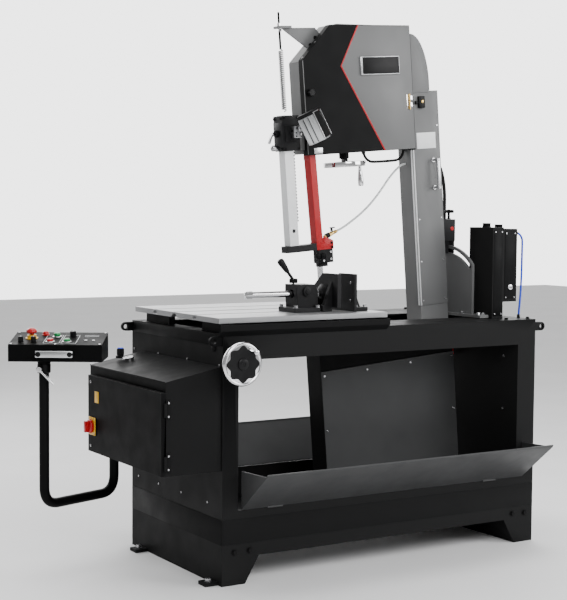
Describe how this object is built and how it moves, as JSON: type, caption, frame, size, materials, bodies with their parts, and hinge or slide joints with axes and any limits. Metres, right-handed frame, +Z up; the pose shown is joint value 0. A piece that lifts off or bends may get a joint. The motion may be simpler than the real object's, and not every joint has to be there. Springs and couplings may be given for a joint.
{
  "type": "band saw",
  "caption": "Vertical tilt-frame band saw on a closed steel base: column and head swing about the table, with vise, chip trays, control cabinet and swinging console",
  "frame": {"origin": "bottom centre of the whole machine's box, on the floor", "axes": "+X along the table front to the right, +Y to the rear, +Z up"},
  "size_m": [1.966, 1.029, 1.9462],
  "materials": {
    "black_paint": "black powder coat",
    "grey_paint": "grey satin paint",
    "red_paint": "red gloss paint",
    "white_paint": "pale satin",
    "table_iron": "ground grey iron",
    "black_casting": "black painted casting",
    "bright_steel": "bright steel",
    "black_plastic": "black plastic",
    "red_plastic": "red plastic",
    "green_plastic": "green plastic",
    "brass": "brass",
    "clear_hose": "milky clear hose",
    "blue_hose": "blue air line",
    "black_hose": "black cable jacket"
  },
  "bodies": {
    "base": {"base_frame": "black_paint", "table_front": "table_iron", "table_rear": "table_iron", "electrical_cabinet": "black_paint", "vise_body": "black_casting", "fixed_jaw": "black_casting", "pressure_regulator": "black_plastic", "hydraulic_unit": "black_paint", "air_line": "blue_hose"},
    "front_tray": {"front_chip_tray": "grey_paint"},
    "rear_tray": {"rear_chip_tray": "grey_paint"},
    "cabinet_door": {"cabinet_door": "black_paint"},
    "main_switch": {"main_switch_knob": "red_plastic"},
    "console_arm": {"console_arm": "black_paint"},
    "console": {"console_box": "black_paint"},
    "estop": {"estop_button": "red_plastic"},
    "start": {"start_button": "green_plastic"},
    "stop": {"stop_button": "red_plastic"},
    "feed": {"feed_button": "green_plastic"},
    "selector": {"selector_switch": "black_plastic"},
    "speed": {"speed_knob": "black_plastic"},
    "pressure": {"pressure_knob": "black_plastic"},
    "feed_wheel": {"feed_handwheel": "black_paint"},
    "feed_grip": {"feed_grip": "black_plastic"},
    "vise_slide": {"vise_bar": "bright_steel", "moving_jaw": "black_casting"},
    "vise_lever": {"vise_lever": "black_plastic"},
    "carriage": {"carriage": "black_paint", "tilt_quadrant": "grey_paint"},
    "saw_frame": {"head_housing": "grey_paint", "column": "grey_paint", "lower_housing": "black_paint", "lower_cover": "grey_paint", "gearmotor": "black_paint", "drive_bracket": "red_paint", "saw_blade": "bright_steel", "guide_clamp": "black_casting", "lower_guide": "red_paint", "spring_rod": "bright_steel", "counter_spring": "bright_steel", "tilt_lock_block": "black_casting", "coolant_hose": "clear_hose", "tension_hose": "black_hose", "column_cable": "black_hose"},
    "tilt_knob": {"tilt_lock_knob": "black_plastic"},
    "head_door": {"head_door": "black_paint"},
    "column_cover": {"column_cover": "grey_paint"},
    "tension_slide": {"tension_slide": "bright_steel"},
    "upper_wheel": {"upper_wheel": "table_iron"},
    "lower_wheel": {"lower_wheel": "table_iron"},
    "tension_wheel": {"tension_handwheel": "bright_steel"},
    "tension_crank": {"tension_crank": "bright_steel"},
    "guide_arm": {"guide_tube": "white_paint", "guide_arm": "black_casting", "blade_guard": "red_paint", "blade_guide": "red_paint", "coolant_valve": "brass"},
    "lock_lever": {"guide_lock_lever": "bright_steel"},
    "hand_knob": {"guide_hand_knob": "bright_steel"},
    "lamp": {"work_lamp": "black_plastic"}
  },
  "joints": [
    {"name": "front_tray_fold", "type": "hinge", "parent": "base", "child": "front_tray", "pos_m": [0.27197, -0.349, 0.2515], "axis": [1, 0, 0], "range_deg": [0, 45]},
    {"name": "rear_tray_fold", "type": "hinge", "parent": "base", "child": "rear_tray", "pos_m": [0.27197, 0.349, 0.2515], "axis": [-1, 0, 0], "range_deg": [0, 45]},
    {"name": "cabinet_door_swing", "type": "hinge", "parent": "base", "child": "cabinet_door", "pos_m": [-0.62203, -0.352, 0.516], "axis": [0, 0, 1], "range_deg": [0, 18]},
    {"name": "main_switch_turn", "type": "hinge", "parent": "cabinet_door", "child": "main_switch", "pos_m": [-0.64903, 0.19, 0.48], "axis": [-1, 0, 0], "range_deg": [0, 90]},
    {"name": "console_arm_swing", "type": "hinge", "parent": "base", "child": "console_arm", "pos_m": [-0.54503, 0.207, 0.3], "axis": [0, 0, 1], "range_deg": [-60, 25]},
    {"name": "console_swivel", "type": "hinge", "parent": "console_arm", "child": "console", "pos_m": [-0.84903, 0.106, 0.735], "axis": [0, 0, 1], "range_deg": [-30, 30]},
    {"name": "estop_press", "type": "slide", "parent": "console", "child": "estop", "axis": [0.082, 0.1337, -0.9876], "range_m": [0, 0.006], "stiffness_N_per_m": 600, "springref_m": -0.002},
    {"name": "start_press", "type": "slide", "parent": "console", "child": "start", "axis": [0.082, 0.1337, -0.9876], "range_m": [0, 0.003], "stiffness_N_per_m": 600, "springref_m": -0.002},
    {"name": "stop_press", "type": "slide", "parent": "console", "child": "stop", "axis": [0.082, 0.1337, -0.9876], "range_m": [0, 0.003], "stiffness_N_per_m": 600, "springref_m": -0.002},
    {"name": "feed_press", "type": "slide", "parent": "console", "child": "feed", "axis": [0.082, 0.1337, -0.9876], "range_m": [0, 0.003], "stiffness_N_per_m": 600, "springref_m": -0.002},
    {"name": "selector_turn", "type": "hinge", "parent": "console", "child": "selector", "pos_m": [-0.7565, 0.07518, 0.81913], "axis": [-0.082, -0.1337, 0.9876], "range_deg": [-45, 45]},
    {"name": "speed_turn", "type": "hinge", "parent": "console", "child": "speed", "pos_m": [-0.93555, 0.09687, 0.80721], "axis": [-0.082, -0.1337, 0.9876], "range_deg": [-135, 135]},
    {"name": "pressure_turn", "type": "hinge", "parent": "console", "child": "pressure", "pos_m": [-0.89889, 0.0744, 0.80721], "axis": [-0.082, -0.1337, 0.9876], "range_deg": [-135, 135]},
    {"name": "feed_wheel_turn", "type": "hinge", "parent": "base", "child": "feed_wheel", "pos_m": [-0.37903, -0.418, 0.745], "axis": [0, 1, 0], "range_deg": [-1155, 1]},
    {"name": "feed_grip_spin", "type": "hinge", "parent": "feed_wheel", "child": "feed_grip", "pos_m": [-0.34903, -0.444, 0.785], "axis": [0, 1, 0], "continuous": true},
    {"name": "vise_travel", "type": "slide", "parent": "base", "child": "vise_slide", "axis": [1, 0, 0], "range_m": [-0.008, 0.05]},
    {"name": "vise_lever_turn", "type": "hinge", "parent": "base", "child": "vise_lever", "pos_m": [-0.04703, -0.194, 1], "axis": [0, 0, 1], "range_deg": [-80, 80]},
    {"name": "carriage_feed", "type": "slide", "parent": "base", "child": "carriage", "axis": [1, 0, 0], "range_m": [-0.32, 0]},
    {"name": "saw_tilt", "type": "hinge", "parent": "carriage", "child": "saw_frame", "pos_m": [0.20197, -0.023, 0.89], "axis": [1, 0, 0], "range_deg": [-45, 25]},
    {"name": "tilt_lock_turn", "type": "hinge", "parent": "saw_frame", "child": "tilt_knob", "pos_m": [0.76697, -0.023, 1.23], "axis": [0, 0, 1], "range_deg": [0, 180]},
    {"name": "head_door_swing", "type": "hinge", "parent": "saw_frame", "child": "head_door", "pos_m": [0.54586, -0.074, 1.71094], "axis": [-0.0819, 0, 0.9966], "range_deg": [0, 3]},
    {"name": "column_cover_swing", "type": "hinge", "parent": "saw_frame", "child": "column_cover", "pos_m": [0.56943, -0.074, 1.28143], "axis": [0.0819, 0, -0.9966], "range_deg": [0, 40]},
    {"name": "tension_travel", "type": "slide", "parent": "saw_frame", "child": "tension_slide", "axis": [-0.0819, 0, 0.9966], "range_m": [-0.008, 0.00001]},
    {"name": "tension_screw_turn", "type": "hinge", "parent": "saw_frame", "child": "tension_wheel", "pos_m": [0.29647, 0.0055, 1.4125], "axis": [-0.0819, 0, 0.9966], "range_deg": [-1440, 0]},
    {"name": "tension_crank_spin", "type": "hinge", "parent": "tension_wheel", "child": "tension_crank", "pos_m": [0.36877, 0.0055, 1.3753], "axis": [-0.0819, 0, 0.9966], "continuous": true},
    {"name": "upper_wheel_turn", "type": "hinge", "parent": "tension_slide", "child": "upper_wheel", "pos_m": [0.3369, -0.023, 1.69577], "axis": [0, 1, 0], "continuous": true},
    {"name": "lower_wheel_turn", "type": "hinge", "parent": "saw_frame", "child": "lower_wheel", "pos_m": [0.43768, -0.023, 0.4699], "axis": [0, 1, 0], "continuous": true},
    {"name": "guide_travel", "type": "slide", "parent": "saw_frame", "child": "guide_arm", "axis": [-0.0819, 0, 0.9966], "range_m": [-0.09, 0.215]},
    {"name": "guide_lock_turn", "type": "hinge", "parent": "saw_frame", "child": "lock_lever", "pos_m": [-0.00794, -0.023, 1.5149], "axis": [-0.9966, 0, -0.0819], "range_deg": [0, 60]},
    {"name": "guide_knob_turn", "type": "hinge", "parent": "saw_frame", "child": "hand_knob", "pos_m": [-0.00384, -0.023, 1.46507], "axis": [0.9966, 0, 0.0819], "range_deg": [-170, 170]},
    {"name": "lamp_tilt", "type": "hinge", "parent": "saw_frame", "child": "lamp", "pos_m": [0.02928, -0.076, 1.52599], "axis": [0, 1, 0], "range_deg": [-12, 12]}
  ],
  "couplings": [
    {"joint": "feed_wheel_turn", "follows": "carriage_feed", "rad_per_m": 62.832},
    {"joint": "tension_travel", "follows": "tension_screw_turn", "m_per_rad": 0.00031831},
    {"joint": "upper_wheel_turn", "follows": "lower_wheel_turn", "ratio": 1}
  ]
}
